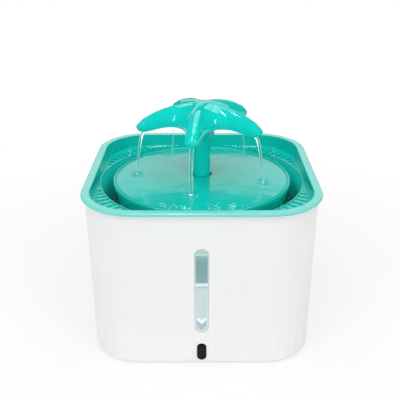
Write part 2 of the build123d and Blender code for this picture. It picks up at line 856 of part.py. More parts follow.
with BuildPart() as riser_tube:
    with BuildSketch(Plane.XY.offset(riser_foot_z)):
        Circle(riser_radius)
    extrude(amount=riser_top_z - riser_foot_z)
    chamfer(riser_tube.edges().sort_by(Axis.Z)[-1], plug_chamfer)
    with BuildSketch(Plane.XY.offset(riser_foot_z)):
        Circle(riser_bore_radius)
    extrude(amount=riser_top_z - riser_foot_z, mode=Mode.SUBTRACT)
    with BuildSketch(Plane.XY.offset(riser_foot_z)):
        Circle(nozzle_outer_radius + snug)
    extrude(amount=nozzle_top_z - riser_foot_z, mode=Mode.SUBTRACT)
riser_tube.part.label = "riser_tube"
export_step(riser_tube.part, "parts/riser_tube.step")


# ---------------------------------------------------------------- pump

pump_back_y = pump_front_y + pump_depth
pump_middle_y = pump_front_y + pump_depth / 2
volute_front_y = pump_front_y - volute_depth
chamber_front_y = pump_front_y - chamber_depth
well_end_y = pump_front_y + rotor_well_depth
cup_middles = [
    ("suction_cup_front_left", -cup_spacing_x / 2, pump_middle_y - cup_spacing_y / 2),
    ("suction_cup_front_right", cup_spacing_x / 2, pump_middle_y - cup_spacing_y / 2),
    ("suction_cup_rear_left", -cup_spacing_x / 2, pump_middle_y + cup_spacing_y / 2),
    ("suction_cup_rear_right", cup_spacing_x / 2, pump_middle_y + cup_spacing_y / 2),
]


def facing_front(y, z):
    """A sketch plane across the pump, drawn on from the front, with +X to the right."""
    return Plane(origin=(0, y, z), x_dir=(1, 0, 0), z_dir=(0, -1, 0))


# Motor block: the sealed stator round a blind rotor well.
with BuildPart() as pump_housing:
    with BuildSketch(facing_front(pump_back_y, pump_z + pump_height / 2)):
        RectangleRounded(pump_width, pump_height, pump_corner)
    extrude(amount=pump_depth)
    fillet(pump_housing.faces().sort_by(Axis.Y)[-1].edges(), pump_corner / 2)
    with BuildSketch(facing_front(well_end_y, rotor_axis_z)):
        Circle(rotor_well_radius)
    extrude(amount=rotor_well_depth, mode=Mode.SUBTRACT)
    with BuildSketch(facing_front(well_end_y + bush_length, rotor_axis_z)):
        Circle(bush_radius)
    extrude(amount=bush_length, mode=Mode.SUBTRACT)
    # cord gland at the back, with its blind hole
    with BuildSketch(facing_front(pump_back_y + gland_length, pump_z + gland_drop)):
        Circle(gland_radius)
    extrude(amount=gland_length + pump_corner)
    with BuildSketch(facing_front(pump_back_y + gland_length, pump_z + gland_drop)):
        Circle(cable_radius)
    extrude(amount=gland_length, mode=Mode.SUBTRACT)
    # stud holes for the suction cups, socket for the lamp lens
    for _, cup_x, cup_y in cup_middles:
        with BuildSketch(Plane(origin=(cup_x, cup_y, pump_z))):
            Circle(cup_stud_radius)
        extrude(amount=cup_stud_length, mode=Mode.SUBTRACT)
    with BuildSketch(Plane(origin=(lens_x, pump_front_y + lens_inset, pump_z + pump_height))):
        Circle(lens_radius + running)
    extrude(amount=-lens_socket_depth, mode=Mode.SUBTRACT)
pump_housing.part.label = "pump_housing"
export_step(pump_housing.part, "parts/pump_housing.step")

# Volute: the impeller's chamber, with the intake in front and the outlet nozzle on top.
with BuildPart() as pump_volute:
    with BuildSketch(facing_front(pump_front_y, rotor_axis_z)):
        RectangleRounded(volute_width, volute_height, volute_corner)
    extrude(amount=volute_depth)
    with BuildSketch(Plane.XY.offset(rotor_axis_z)):
        Circle(nozzle_outer_radius)
    extrude(amount=nozzle_top_z - rotor_axis_z)
    with BuildSketch(facing_front(pump_front_y, rotor_axis_z)):
        Circle(chamber_radius)
    extrude(amount=chamber_depth, mode=Mode.SUBTRACT)
    with BuildSketch(Plane.XY.offset(rotor_axis_z)):
        Circle(nozzle_bore_radius)
    extrude(amount=nozzle_top_z - rotor_axis_z, mode=Mode.SUBTRACT)
    with BuildSketch(Plane.XY.offset(nozzle_ring_z - seal_groove_height / 2)):
        Circle(nozzle_outer_radius + snug)
        Circle(nozzle_outer_radius + running - 2 * ring_section - groove_slack, mode=Mode.SUBTRACT)
    extrude(amount=seal_groove_height, mode=Mode.SUBTRACT)
    with BuildSketch(facing_front(chamber_front_y, rotor_axis_z)):
        Circle(intake_radius)
        Circle(bush_radius + bush_holder_wall, mode=Mode.SUBTRACT)
        with PolarLocations(intake_radius / 2, intake_spokes, 90):
            Rectangle(intake_radius, intake_spoke_width, mode=Mode.SUBTRACT)
    extrude(amount=volute_depth - chamber_depth, mode=Mode.SUBTRACT)
    with BuildSketch(facing_front(volute_front_y + bush_length, rotor_axis_z)):
        Circle(bush_radius)
    extrude(amount=bush_length, mode=Mode.SUBTRACT)
    with BuildSketch(facing_front(chamber_front_y, rotor_axis_z)):
        Circle(shaft_radius + snug)
    extrude(amount=volute_depth - chamber_depth, mode=Mode.SUBTRACT)
pump_volute.part.label = "pump_volute"
export_step(pump_volute.part, "parts/pump_volute.step")

with BuildPart(Plane.XY.offset(nozzle_ring_z)) as nozzle_o_ring:
    Torus(nozzle_outer_radius + running - ring_section, ring_section)
nozzle_o_ring.part.label = "nozzle_o_ring"
export_step(nozzle_o_ring.part, "parts/nozzle_o_ring.step")

# Impeller on its sleeve, with the ring magnet pushed over the sleeve.
backplate_y = pump_front_y - chamber_play
sleeve_end_y = well_end_y - chamber_play
magnet_front_y = pump_front_y + chamber_play

with BuildPart() as impeller:
    with BuildSketch(facing_front(backplate_y, rotor_axis_z)):
        Circle(impeller_radius)
    extrude(amount=backplate_thickness)
    with BuildSketch(facing_front(backplate_y - backplate_thickness, rotor_axis_z)):
        blade_length = impeller_radius - shaft_radius - blade_thickness
        with PolarLocations(impeller_radius - blade_length / 2, impeller_blades):
            Rectangle(blade_length, blade_thickness)
        Circle(impeller_radius, mode=Mode.INTERSECT)
        Circle(impeller_hub_radius)
    extrude(amount=blade_depth)
    with BuildSketch(facing_front(sleeve_end_y, rotor_axis_z)):
        Circle(sleeve_radius)
    extrude(amount=sleeve_end_y - backplate_y)
    with BuildSketch(facing_front(sleeve_end_y, rotor_axis_z)):
        Circle(shaft_radius + running)
    extrude(amount=rotor_well_depth + chamber_depth, mode=Mode.SUBTRACT)
impeller.part.label = "impeller"
export_step(impeller.part, "parts/impeller.step")

with BuildPart() as rotor_magnet:
    with BuildSketch(facing_front(magnet_front_y + magnet_length, rotor_axis_z)):
        Circle(magnet_radius)
        Circle(sleeve_radius + running, mode=Mode.SUBTRACT)
    extrude(amount=magnet_length)
rotor_magnet.part.label = "rotor_magnet"
export_step(rotor_magnet.part, "parts/rotor_magnet.step")

with BuildPart() as rotor_shaft:
    with BuildSketch(facing_front(well_end_y + bush_length, rotor_axis_z)):
        Circle(shaft_radius)
    extrude(amount=bush_length + rotor_well_depth + volute_depth)
rotor_shaft.part.label = "rotor_shaft"
export_step(rotor_shaft.part, "parts/rotor_shaft.step")

for bush_name, bush_back_y in (
    ("front_bush", volute_front_y + bush_length),
    ("rear_bush", well_end_y + bush_length),
):
    with BuildPart() as bush:
        with BuildSketch(facing_front(bush_back_y, rotor_axis_z)):
            Circle(bush_radius - bush_play)
            Circle(shaft_radius + bush_play, mode=Mode.SUBTRACT)
        extrude(amount=bush_length)
    bush.part.label = bush_name
    export_step(bush.part, f"parts/{bush_name}.step")

for cup_name, cup_x, cup_y in cup_middles:
    with BuildPart() as cup:
        with BuildSketch(Plane(origin=(cup_x, cup_y, 0), x_dir=(1, 0, 0), z_dir=(0, -1, 0))):
            with BuildLine():
                Polyline(
                    (cup_radius - cup_lip, tank_floor_z),
                    (cup_radius, tank_floor_z),
                    (cup_radius, tank_floor_z + cup_lip),
                    (cup_neck_radius, pump_z - cup_lip),
                    (cup_neck_radius, pump_z),
                    (cup_stud_radius - bush_play, pump_z),
                    (cup_stud_radius - bush_play, pump_z + cup_stud_length - bush_play),
                    (0, pump_z + cup_stud_length - bush_play),
                    (0, tank_floor_z + cup_hollow),
                )
                Line((0, tank_floor_z + cup_hollow), (cup_radius - cup_lip, tank_floor_z))
            make_face()
        revolve(axis=Axis((cup_x, cup_y, 0), (0, 0, 1)))
    cup.part.label = cup_name
    export_step(cup.part, f"parts/{cup_name}.step")

lens_foot_z = pump_z + pump_height - lens_socket_depth
with BuildPart(Plane(origin=(lens_x, pump_front_y + lens_inset, lens_foot_z))) as led_lens:
    Cylinder(
        lens_radius,
        lens_socket_depth + lens_stand,
        align=(Align.CENTER, Align.CENTER, Align.MIN),
    )
    fillet(led_lens.edges().sort_by(Axis.Z)[-1], lens_stand)
led_lens.part.label = "led_lens"
export_step(led_lens.part, "parts/led_lens.step")


# ---------------------------------------------------------------- intake cover, sponge and flow gate

cover_back_y = volute_front_y + cover_overlap
cover_front_y = cover_back_y - cover_depth
cover_inner_y = cover_front_y + cover_wall
cover_inner_width = volute_width + 2 * snug
cover_inner_height = volute_height + 2 * snug
cover_inner_corner = volute_corner + snug
gate_z = rotor_axis_z + gate_rise
grille_z = gate_z + grille_rise
gate_width = grille_slots * grille_pitch
gate_travel = grille_pitch / 2
nub_z = gate_z - gate_height / 2 + gate_nub / 2
rail_offset = gate_height / 2 + snug + rail_width / 2

with BuildPart() as intake_cover:
    with BuildSketch(facing_front(cover_back_y, rotor_axis_z)):
        outer_width = cover_inner_width + 2 * cover_wall
        outer_height = cover_inner_height + 2 * cover_wall
        RectangleRounded(outer_width, outer_height, cover_inner_corner + cover_wall)
    extrude(amount=cover_depth)
    fillet(intake_cover.faces().sort_by(Axis.Y)[0].edges(), cover_edge_radius)
    with BuildSketch(facing_front(cover_back_y, rotor_axis_z)):
        RectangleRounded(cover_inner_width, cover_inner_height, cover_inner_corner)
    extrude(amount=cover_depth - cover_wall, mode=Mode.SUBTRACT)
    # intake grille
    with BuildSketch(facing_front(cover_inner_y, grille_z)):
        with GridLocations(grille_pitch, 0, grille_slots, 1):
            SlotOverall(grille_slot_height, grille_slot_width, rotation=90)
    extrude(amount=cover_wall, mode=Mode.SUBTRACT)
    # slot for the gate's nub, and the two rails that the gate slides between
    with BuildSketch(facing_front(cover_inner_y, nub_z)):
        with Locations((gate_travel / 2, 0)):
            Rectangle(gate_nub + gate_travel + 2 * snug, gate_nub + 2 * snug)
    extrude(amount=cover_wall, mode=Mode.SUBTRACT)
    with BuildSketch(facing_front(cover_inner_y, gate_z)):
        with GridLocations(0, 2 * rail_offset, 1, 2):
            Rectangle(cover_inner_width, rail_width)
    extrude(amount=-gate_thickness)
intake_cover.part.label = "intake_cover"
export_step(intake_cover.part, "parts/intake_cover.step")

# The gate has the grille's own slots: slid half a pitch to the right, it closes them.
with BuildPart() as flow_gate:
    with BuildSketch(facing_front(cover_inner_y + running, gate_z)):
        Rectangle(gate_width, gate_height)
        with Locations((0, grille_rise)):
            with GridLocations(grille_pitch, 0, grille_slots, 1):
                Rectangle(grille_slot_width, grille_slot_height, mode=Mode.SUBTRACT)
    extrude(amount=-gate_thickness)
    with BuildSketch(facing_front(cover_inner_y + running, nub_z)):
        Rectangle(gate_nub, gate_nub)
    extrude(amount=cover_wall + gate_nub_reach)
flow_gate.part.label = "flow_gate"
export_step(flow_gate.part, "parts/flow_gate.step")

sponge_front_y = cover_inner_y + running + gate_thickness + loose
with BuildPart() as intake_sponge:
    with BuildSketch(facing_front(volute_front_y - loose, rotor_axis_z)):
        sponge_width = cover_inner_width - 2 * loose
        sponge_height = cover_inner_height - 2 * loose
        RectangleRounded(sponge_width, sponge_height, cover_inner_corner - loose)
    extrude(amount=volute_front_y - loose - sponge_front_y)
intake_sponge.part.label = "intake_sponge"
export_step(intake_sponge.part, "parts/intake_sponge.step")
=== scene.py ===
import math
import random

import bpy
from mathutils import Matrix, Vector


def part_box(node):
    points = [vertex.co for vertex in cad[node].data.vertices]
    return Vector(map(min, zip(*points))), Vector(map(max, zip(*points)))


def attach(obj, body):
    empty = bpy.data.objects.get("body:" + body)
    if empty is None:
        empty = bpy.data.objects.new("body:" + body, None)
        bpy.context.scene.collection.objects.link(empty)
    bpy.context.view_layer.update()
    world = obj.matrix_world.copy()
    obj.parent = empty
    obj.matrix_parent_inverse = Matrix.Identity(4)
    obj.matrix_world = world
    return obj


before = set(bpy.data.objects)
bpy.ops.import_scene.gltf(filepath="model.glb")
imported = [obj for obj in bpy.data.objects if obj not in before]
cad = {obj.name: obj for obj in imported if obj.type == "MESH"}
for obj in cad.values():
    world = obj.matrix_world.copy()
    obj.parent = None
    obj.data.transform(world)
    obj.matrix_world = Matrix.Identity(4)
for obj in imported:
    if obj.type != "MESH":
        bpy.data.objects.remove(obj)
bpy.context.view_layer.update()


# ---------------------------------------------------------------- tank
# The tank is one deep shell of near-white polypropylene, injection moulded with shallow upright
# flutes. The mould leaves it satin, with a very fine grain and a slow drift of shade.


def paint(red, green, blue):
    """A colour given as screen levels, 0 to 255, in the linear values that a shader takes."""
    mixed = []
    for level in (red / 255, green / 255, blue / 255):
        mixed.append(level / 12.92 if level <= 0.04045 else ((level + 0.055) / 1.055) ** 2.4)
    return (*mixed, 1.0)


moulded_grain = bpy.data.node_groups.new("moulded_grain", "ShaderNodeTree")
for socket_name, socket_type in (
    ("Position", "NodeSocketVector"),
    ("Grains per metre", "NodeSocketFloat"),
    ("Clouds per metre", "NodeSocketFloat"),
):
    moulded_grain.interface.new_socket(socket_name, in_out="INPUT", socket_type=socket_type)
for socket_name in ("Height", "Cloud"):
    moulded_grain.interface.new_socket(socket_name, in_out="OUTPUT", socket_type="NodeSocketFloat")
grain_in = moulded_grain.nodes.new("NodeGroupInput")
grain_out = moulded_grain.nodes.new("NodeGroupOutput")
for detail, density, result in ((2.0, "Grains per metre", "Height"), (3.0, "Clouds per metre", "Cloud")):
    speckle = moulded_grain.nodes.new("ShaderNodeTexNoise")
    speckle.inputs["Detail"].default_value = detail
    moulded_grain.links.new(grain_in.outputs["Position"], speckle.inputs["Vector"])
    moulded_grain.links.new(grain_in.outputs[density], speckle.inputs["Scale"])
    moulded_grain.links.new(speckle.outputs["Fac"], grain_out.inputs[result])


def surface_of(finish):
    """A material's surface, where its constant values are set."""
    return finish.node_tree.nodes["Principled BSDF"]


def parts_of(finish):
    """A material's nodes, its links and its surface."""
    return finish.node_tree.nodes, finish.node_tree.links, surface_of(finish)


def new_finish(name):
    """A new material. Returns it with its nodes, its links and its surface."""
    finish = bpy.data.materials.new(name)
    finish.use_nodes = True
    return finish, *parts_of(finish)


def part_way(value, low, high, at_low=0.0, at_high=1.0):
    """How far a value has come from low to high, as a value from at_low to at_high."""
    tree = value.id_data
    scale = tree.nodes.new("ShaderNodeMapRange")
    scale.inputs["From Min"].default_value = low
    scale.inputs["From Max"].default_value = high
    scale.inputs["To Min"].default_value = at_low
    scale.inputs["To Max"].default_value = at_high
    tree.links.new(value, scale.inputs["Value"])
    return scale.outputs["Result"]


def colour_over(share, below, above):
    """One colour over another. Each is a result of the material or a plain colour."""
    tree = share.id_data
    mix = tree.nodes.new("ShaderNodeMix")
    mix.data_type = "RGBA"
    tree.links.new(share, mix.inputs[0])
    for socket, colour in ((mix.inputs[6], below), (mix.inputs[7], above)):
        if isinstance(colour, tuple):
            socket.default_value = colour
        else:
            tree.links.new(colour, socket)
    return mix.outputs[2]


def raise_relief(height, depth, surface):
    """Raises the look of a surface by a height value. Returns the bump."""
    tree = height.id_data
    relief = tree.nodes.new("ShaderNodeBump")
    relief.inputs["Distance"].default_value = depth
    tree.links.new(height, relief.inputs["Height"])
    tree.links.new(relief.outputs["Normal"], surface.inputs["Normal"])
    return relief


def moulded_plastic(name, colour, far_colour, roughness, grain_depth=4e-6, grains=2500, clouds=14):
    """A moulded surface: fine grain, and a slow drift of shade and gloss. Returns the material."""
    finish, nodes, links, surface = new_finish(name)
    place = nodes.new("ShaderNodeTexCoord")
    grain = nodes.new("ShaderNodeGroup")
    grain.node_tree = moulded_grain
    grain.inputs["Grains per metre"].default_value = grains
    grain.inputs["Clouds per metre"].default_value = clouds
    links.new(place.outputs["Object"], grain.inputs["Position"])
    cloud = grain.outputs["Cloud"]
    tint = colour_over(cloud, colour, far_colour)
    tint.node.name = "tint"
    links.new(tint, surface.inputs["Base Color"])
    thin_cloud = 0.3
    thick_cloud = 0.7
    glossiest = roughness * 0.85
    dullest = roughness * 1.15
    links.new(part_way(cloud, thin_cloud, thick_cloud, glossiest, dullest), surface.inputs["Roughness"])
    raise_relief(grain.outputs["Height"], grain_depth, surface).name = "relief"
    return finish


def dress(finish, *node_names):
    """Gives CAD pieces a finish."""
    for node_name in node_names:
        cad[node_name].material_slots[0].material = finish


def worked_out(operation, *terms):
    """A math node's result. Each term is a value of the material or a plain number."""
    tree = next(term.id_data for term in terms if not isinstance(term, (int, float)))
    sum_node = tree.nodes.new("ShaderNodeMath")
    sum_node.operation = operation
    for socket, term in zip(sum_node.inputs, terms):
        if isinstance(term, (int, float)):
            socket.default_value = term
        else:
            tree.links.new(term, socket)
    return sum_node.outputs["Value"]


white_plastic = moulded_plastic("white_plastic", paint(240, 241, 241), paint(236, 238, 238), 0.42)
white_nodes, white_links, white_surface = parts_of(white_plastic)
# some narrow faces, where the flutes fade out, are turned against the smooth wall and would stay
# black: where the two directions don't match, the face glows with the painted colour of the lit wall
least_match = 0.5
no_glow = paint(0, 0, 0)
wall_facing = white_nodes.new("ShaderNodeNewGeometry")
facing_match = white_nodes.new("ShaderNodeVectorMath")
facing_match.operation = "DOT_PRODUCT"
white_links.new(wall_facing.outputs["True Normal"], facing_match.inputs[0])
white_links.new(wall_facing.outputs["Normal"], facing_match.inputs[1])
turned_over = worked_out("LESS_THAN", facing_match.outputs["Value"], least_match)
painted_wall_light = colour_over(turned_over, no_glow, paint(239, 241, 241))
white_links.new(painted_wall_light, white_surface.inputs["Emission Color"])
white_surface.inputs["Emission Strength"].default_value = 1.0
dress(white_plastic, "tank")


# ---------------------------------------------------------------- water-level window
# A milky lens of clear plastic fills the slot in the front wall from behind. Its colour is all
# painted: the tray's well seen through it as grey-green, below that the lit tank as pale, and the
# lamp's glint at the foot.

window_low, window_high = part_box("level_window")
window_middle_z = (window_low.z + window_high.z) / 2
slot_height = 0.072
slot_half_width = 0.0052
slot_foot_z = window_middle_z - slot_height / 2
slot_top_z = slot_foot_z + slot_height
glint_top_z = slot_foot_z + 0.0135
glint_half_width = 0.0040
glint_top_blend = 0.0015
glint_side_blend = 0.0009
chevron_top_z = slot_foot_z + 0.014
chevron_slope = -1.1
edge_highlight_width = 0.0011
edge_highlight_blend = 0.0007

window_plastic, window_nodes, window_links, window_surface = new_finish("window_plastic")
window_surface.inputs["Roughness"].default_value = 0.16


def piece_axes(nodes, links):
    """X, Y and Z of the place on the piece, as separate values."""
    place = nodes.new("ShaderNodeTexCoord")
    axes = nodes.new("ShaderNodeSeparateXYZ")
    links.new(place.outputs["Object"], axes.inputs["Vector"])
    return axes.outputs


def colour_bands(value, bands):
    """Bands of colour along a 0 to 1 value, from a list of (place, colour)."""
    tree = value.id_data
    ramp = tree.nodes.new("ShaderNodeValToRGB")
    ramp.color_ramp.elements[0].position = bands[0][0]
    ramp.color_ramp.elements[0].color = bands[0][1]
    ramp.color_ramp.elements[1].position = bands[-1][0]
    ramp.color_ramp.elements[1].color = bands[-1][1]
    for position, colour in bands[1:-1]:
        ramp.color_ramp.elements.new(position).color = colour
    tree.links.new(value, ramp.inputs["Fac"])
    return ramp.outputs["Color"]


window_axes = piece_axes(window_nodes, window_links)
aside = worked_out("ABSOLUTE", window_axes["X"])
up_the_window = part_way(window_axes["Z"], slot_foot_z, slot_top_z)
# painted view through the lens: the well's grey-green above, a bright line, the lit tank pale below
painted_pale_tank = paint(203, 219, 218)
painted_inside_view = colour_bands(
    up_the_window,
    [
        (0.00, paint(224, 232, 230)),
        (0.06, paint(200, 217, 218)),
        (0.20, painted_pale_tank),
        (0.53, painted_pale_tank),
        (0.555, paint(176, 200, 203)),
        (0.570, paint(222, 242, 241)),
        (0.590, paint(224, 244, 243)),
        (0.605, paint(140, 174, 176)),
        (0.70, paint(131, 170, 171)),
        (0.84, paint(128, 168, 168)),
        (0.91, paint(145, 184, 182)),
        (0.925, paint(196, 226, 222)),
        (0.95, paint(171, 200, 196)),
        (1.00, paint(206, 220, 217)),
    ],
)
# the lamp's painted glint: a bright wedge over two grey-blue chevrons
chevron = worked_out("MULTIPLY_ADD", aside, chevron_slope, window_axes["Z"])
glint = colour_bands(
    part_way(chevron, slot_foot_z, chevron_top_z),
    [
        (0.00, paint(212, 223, 223)),
        (0.16, paint(196, 210, 213)),
        (0.24, paint(152, 174, 182)),
        (0.34, paint(190, 212, 220)),
        (0.44, paint(146, 172, 184)),
        (0.56, paint(240, 254, 254)),
        (0.74, paint(240, 254, 254)),
        (0.84, paint(206, 220, 219)),
        (1.00, paint(204, 219, 218)),
    ],
)
inside_glint = part_way(aside, glint_half_width, glint_half_width - glint_side_blend)
below_glint_top = part_way(window_axes["Z"], glint_top_z, glint_top_z - glint_top_blend)
painted_window_light = colour_over(inside_glint, painted_inside_view, glint)
painted_window_light = colour_over(below_glint_top, painted_inside_view, painted_window_light)
# a painted highlight runs round the lens's edge where it meets the slot
painted_edge_highlight = colour_bands(
    up_the_window,
    [(0.0, paint(238, 241, 240)), (0.5, paint(220, 228, 227)), (1.0, paint(212, 226, 224))],
)
edge_highlight_from = slot_half_width - edge_highlight_width
edge_highlight_share = part_way(aside, edge_highlight_from, edge_highlight_from + edge_highlight_blend)
window_colour = colour_over(edge_highlight_share, painted_window_light, painted_edge_highlight)
window_links.new(window_colour, window_surface.inputs["Base Color"])
dress(window_plastic, "level_window")


# ---------------------------------------------------------------- feet, window seal, cord inlet
# Soft grey rubber, moulded with a dull skin. The feet are glued into pockets under the tank, the
# window's flange presses the seal against the wall, and the inlet's grommet snaps into the rear wall.

grey_rubber = moulded_plastic(
    "grey_rubber", paint(176, 180, 182), paint(160, 164, 167), 0.7, grain_depth=2e-5, grains=1400
)
dress(grey_rubber, "window_seal", "cable_grommet")
dress(grey_rubber, "foot_front_left", "foot_front_right", "foot_rear_left", "foot_rear_right")


# ---------------------------------------------------------------- badge
# A small bare pill of gloss black plastic, moulded with its edge rounded over. It is glued low on
# the front wall.

badge_middle_z = 0.012
badge_half_width = 0.0036
badge_half_height = 0.0076
badge_depth = 0.0009
badge_face_y = -0.0859
badge_rounding = 0.00025
off_middle = 1e-5

bpy.ops.object.select_all(action="DESELECT")
bpy.ops.mesh.primitive_cylinder_add(
    vertices=48,
    radius=badge_half_width,
    depth=badge_depth,
    location=(0, badge_face_y + badge_depth / 2, badge_middle_z),
    rotation=(math.radians(90), 0, 0),
)
badge = bpy.context.object
badge.name = "badge"
bpy.ops.object.transform_apply(location=True, rotation=True, scale=True)
for side in (-1, 1):
    bpy.ops.object.mode_set(mode="EDIT")
    bpy.ops.mesh.select_all(action="DESELECT")
    bpy.ops.object.mode_set(mode="OBJECT")
    for vertex in badge.data.vertices:
        vertex.select = (vertex.co.z - badge_middle_z) * side > off_middle
    bpy.ops.object.mode_set(mode="EDIT")
    bpy.ops.transform.translate(value=(0, 0, side * (badge_half_height - badge_half_width)))
    bpy.ops.object.mode_set(mode="OBJECT")
rounding = badge.modifiers.new("rounding", "BEVEL")
rounding.width = badge_rounding
rounding.segments = 3
rounding.limit_method = "ANGLE"
bpy.ops.object.modifier_apply(modifier="rounding")
bpy.ops.object.shade_smooth_by_angle(angle=math.radians(40))
gloss_black = moulded_plastic("gloss_black", paint(8, 8, 9), paint(13, 13, 14), 0.25)
surface_of(gloss_black).inputs["Specular IOR Level"].default_value = 0.2
badge.data.materials.append(gloss_black)
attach(badge, "tank")


# ---------------------------------------------------------------- pump
# A small magnet-drive pump stands on four clear suction cups on the tank's floor. Its sealed motor
# block, chamber, sponge cover and flow gate are matt black plastic, with the mould's spark texture.
# The O-rings are clear or black rubber, and a clear lens covers the lamp on top.

black_plastic = moulded_plastic(
    "black_plastic", paint(30, 31, 33), paint(40, 41, 43), 0.5, grain_depth=1.2e-5, grains=1800
)
dress(black_plastic, "pump_housing", "pump_volute", "intake_cover", "flow_gate")
clear_rubber = moulded_plastic(
    "clear_rubber", paint(214, 222, 222), paint(200, 210, 211), 0.35, grain_depth=8e-6, grains=900
)
dress(clear_rubber, "socket_seal", "stem_o_ring")
dress(clear_rubber, "suction_cup_front_left", "suction_cup_front_right")
dress(clear_rubber, "suction_cup_rear_left", "suction_cup_rear_right")
black_rubber = moulded_plastic(
    "black_rubber", paint(26, 26, 27), paint(36, 36, 37), 0.6, grain_depth=1e-5, grains=1600
)
dress(black_rubber, "nozzle_o_ring")
lamp_lens = moulded_plastic("lamp_lens", paint(226, 240, 250), paint(210, 230, 246), 0.1)
lens_surface = surface_of(lamp_lens)
lens_surface.inputs["Emission Color"].default_value = paint(214, 236, 255)
lens_surface.inputs["Emission Strength"].default_value = 0.6
dress(lamp_lens, "led_lens")


# ---------------------------------------------------------------- rotor
# A white acetal impeller carries a ring of pressed grey-black ferrite, and turns on a ground steel
# shaft held by two ceramic bushes.

acetal = moulded_plastic("white_acetal", paint(232, 232, 228), paint(222, 222, 217), 0.36)
dress(acetal, "impeller")
ferrite = moulded_plastic(
    "ferrite", paint(54, 53, 55), paint(78, 76, 78), 0.55, grain_depth=2.5e-5, grains=3000, clouds=300
)
dress(ferrite, "rotor_magnet")
ceramic = moulded_plastic("ceramic", paint(236, 232, 224), paint(228, 223, 213), 0.22, grains=4000)
dress(ceramic, "front_bush", "rear_bush")
ground_steel = moulded_plastic(
    "ground_steel", paint(196, 198, 202), paint(174, 177, 182), 0.24, grains=5000, clouds=500
)
surface_of(ground_steel).inputs["Metallic"].default_value = 1.0
dress(ground_steel, "rotor_shaft")


# ---------------------------------------------------------------- intake sponge
# The sponge is open-celled black foam, cut to fill the cover and pushed in by hand. It is rough,
# pitted and completely matt.


def pitted(name, colour, hollow_shade, cells, depth, roughness):
    """A surface of round grains or cells, with painted shade in the hollows. Returns the material."""
    finish, nodes, links, surface = new_finish(name)
    surface.inputs["Roughness"].default_value = roughness
    place = nodes.new("ShaderNodeTexCoord")
    cell = nodes.new("ShaderNodeTexVoronoi")
    cell.inputs["Scale"].default_value = cells
    links.new(place.outputs["Object"], cell.inputs["Vector"])
    # painted shade in the hollows between the cells
    shade = colour_over(cell.outputs["Distance"], colour, hollow_shade)
    links.new(shade, surface.inputs["Base Color"])
    raise_relief(cell.outputs["Distance"], depth, surface).invert = True
    return finish


sponge = pitted("sponge", paint(44, 45, 48), paint(14, 14, 15), cells=1500, depth=0.0004, roughness=0.95)
dress(sponge, "intake_sponge")


# ---------------------------------------------------------------- riser tube and filter
# The riser and the filter's frame are moulded in plain white plastic. In the frame lie coconut
# carbon and amber resin beads, and a pad of white cotton closes it on top.

frame_plastic = moulded_plastic("frame_plastic", paint(236, 238, 238), paint(228, 231, 231), 0.38)
dress(frame_plastic, "riser_tube", "filter_frame")
carbon = pitted("carbon", paint(38, 38, 40), paint(8, 8, 9), cells=700, depth=0.0008, roughness=0.6)
dress(carbon, "carbon_bed")
resin = pitted("resin", paint(222, 170, 84), paint(150, 96, 34), cells=1000, depth=0.0005, roughness=0.3)
dress(resin, "resin_bed")


def noise_pattern(nodes, links, density):
    """An uneven pattern fixed to the piece, with about so many clouds to the metre."""
    place = nodes.new("ShaderNodeTexCoord")
    pattern = nodes.new("ShaderNodeTexNoise")
    pattern.inputs["Scale"].default_value = density
    links.new(place.outputs["Object"], pattern.inputs["Vector"])
    return pattern


cotton, cotton_nodes, cotton_links, cotton_surface = new_finish("cotton")
cotton_surface.inputs["Roughness"].default_value = 1.0
cotton_surface.inputs["Sheen Weight"].default_value = 0.3
fibres = noise_pattern(cotton_nodes, cotton_links, 420)
fibres.inputs["Detail"].default_value = 8
fibres.inputs["Distortion"].default_value = 3.0
fibre_depth = 0.0006
raise_relief(fibres.outputs["Fac"], fibre_depth, cotton_surface)
cotton_shade = colour_over(fibres.outputs["Fac"], paint(222, 222, 218), paint(246, 246, 243))
cotton_links.new(cotton_shade, cotton_surface.inputs["Base Color"])
dress(cotton, "filter_cotton")


# ---------------------------------------------------------------- tray
# The tray is one moulding of turquoise ABS, polished in the mould: rim, drinking basin, ledge with
# its comb of slots, and the round well.

rim_top_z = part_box("tray")[1].z
rim_corner = 0.042
rim_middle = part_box("tray")[1].x - rim_corner
rim_band = 0.0064
rim_blend = 0.0008
rim_roll_low_z = rim_top_z - 0.008
rim_roll_high_z = rim_top_z - 0.0005
well_low_z = 0.097
well_high_z = 0.123

turquoise = moulded_plastic(
    "turquoise_plastic", paint(16, 205, 192), paint(12, 198, 185), 0.13, grain_depth=1.5e-6
)
tray_nodes, tray_links, tray_surface = parts_of(turquoise)
# the thin rolled rim is painted paler than the walls: painted light on its top
tray_axes = piece_axes(tray_nodes, tray_links)
tray_corner = tray_nodes.new("ShaderNodeCombineXYZ")
for axis in ("X", "Y"):
    past_middle = worked_out("SUBTRACT", worked_out("ABSOLUTE", tray_axes[axis]), rim_middle)
    past_middle.node.use_clamp = True
    tray_links.new(past_middle, tray_corner.inputs[axis])
tray_outset = tray_nodes.new("ShaderNodeVectorMath")
tray_outset.operation = "LENGTH"
tray_links.new(tray_corner.outputs["Vector"], tray_outset.inputs[0])
pale_from = rim_corner - rim_band
rim_share = part_way(tray_outset.outputs["Value"], pale_from, pale_from + rim_blend)
rim_height = part_way(tray_axes["Z"], rim_roll_low_z, rim_roll_high_z)
rim_light_mask = worked_out("MULTIPLY", rim_share, rim_height)
painted_rim_light = colour_over(rim_light_mask, tray_nodes["tint"].outputs[2], paint(120, 220, 210))
tray_links.new(painted_rim_light, tray_surface.inputs["Base Color"])
